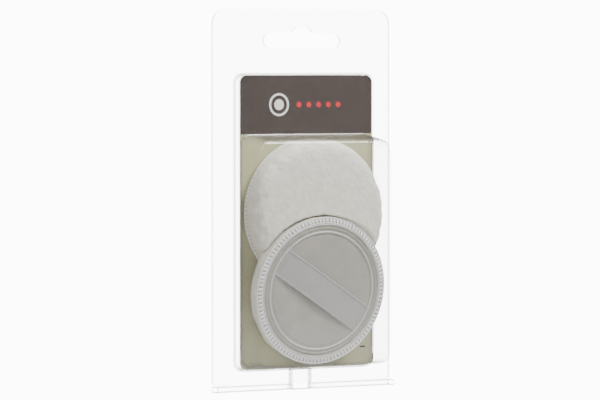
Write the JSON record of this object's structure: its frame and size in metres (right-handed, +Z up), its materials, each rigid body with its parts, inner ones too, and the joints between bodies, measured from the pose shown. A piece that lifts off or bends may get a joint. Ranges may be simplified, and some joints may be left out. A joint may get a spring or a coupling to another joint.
{
  "type": "cosmetic puff pack",
  "caption": "Clear hanging clamshell pack with a euro hang slot, a printed card and round ribbon-handled powder puffs held in its pocket.",
  "frame": {"origin": "middle of the pack's footprint, on the surface it stands on", "axes": "+Z up along the card, +X across the pack to the right seen from the front, front faces -Y"},
  "size_m": [0.083, 0.0202, 0.1526],
  "materials": {
    "clear_sheet": "clear, glossy thermoformed sheet",
    "paperboard": "coated paperboard, smooth",
    "header_ink": "printed solid, satin",
    "body_ink": "printed tint, satin",
    "white_ink": "printed, satin",
    "red_ink": "printed, satin",
    "black_ink": "printed, satin",
    "velour": "short cotton pile",
    "foam": "open-cell sponge",
    "satin": "glossy satin weave",
    "thread": "glossy sewing thread",
    "ribbon": "satin ribbon"
  },
  "bodies": {
    "front_leaf": {"front_shell": "clear_sheet", "hinge_bead": "clear_sheet", "insert_card": "paperboard", "card_header_print": "header_ink", "card_body_print": "body_ink", "emblem_rings": "white_ink", "emblem_dots": "red_ink", "fine_print_bar": "black_ink", "rear_puff_velour_cover": "velour", "rear_puff_foam_core": "foam", "rear_puff_satin_facing": "satin", "rear_puff_overlock_edge": "thread", "rear_puff_outer_ridge": "satin", "rear_puff_inner_ridge": "satin", "rear_puff_ribbon": "ribbon", "rear_puff_ribbon_tacks": "thread"},
    "back_leaf": {"back_shell": "clear_sheet"},
    "front_puff": {"front_puff_velour_cover": "velour", "front_puff_foam_core": "foam", "front_puff_satin_facing": "satin", "front_puff_overlock_edge": "thread", "front_puff_outer_ridge": "satin", "front_puff_inner_ridge": "satin", "front_puff_ribbon": "ribbon", "front_puff_ribbon_tacks": "thread"}
  },
  "joints": [
    {"name": "back_leaf_hinge", "type": "hinge", "parent": "front_leaf", "child": "back_leaf", "pos_m": [0, 0.0088, 0.0013], "axis": [-1, 0, 0], "range_deg": [0, 175]},
    {"name": "front_puff_spin", "type": "hinge", "parent": "front_leaf", "child": "front_puff", "pos_m": [0.0003, -0.0048, 0.0402], "axis": [0, -0.9914, -0.1305], "continuous": true}
  ]
}
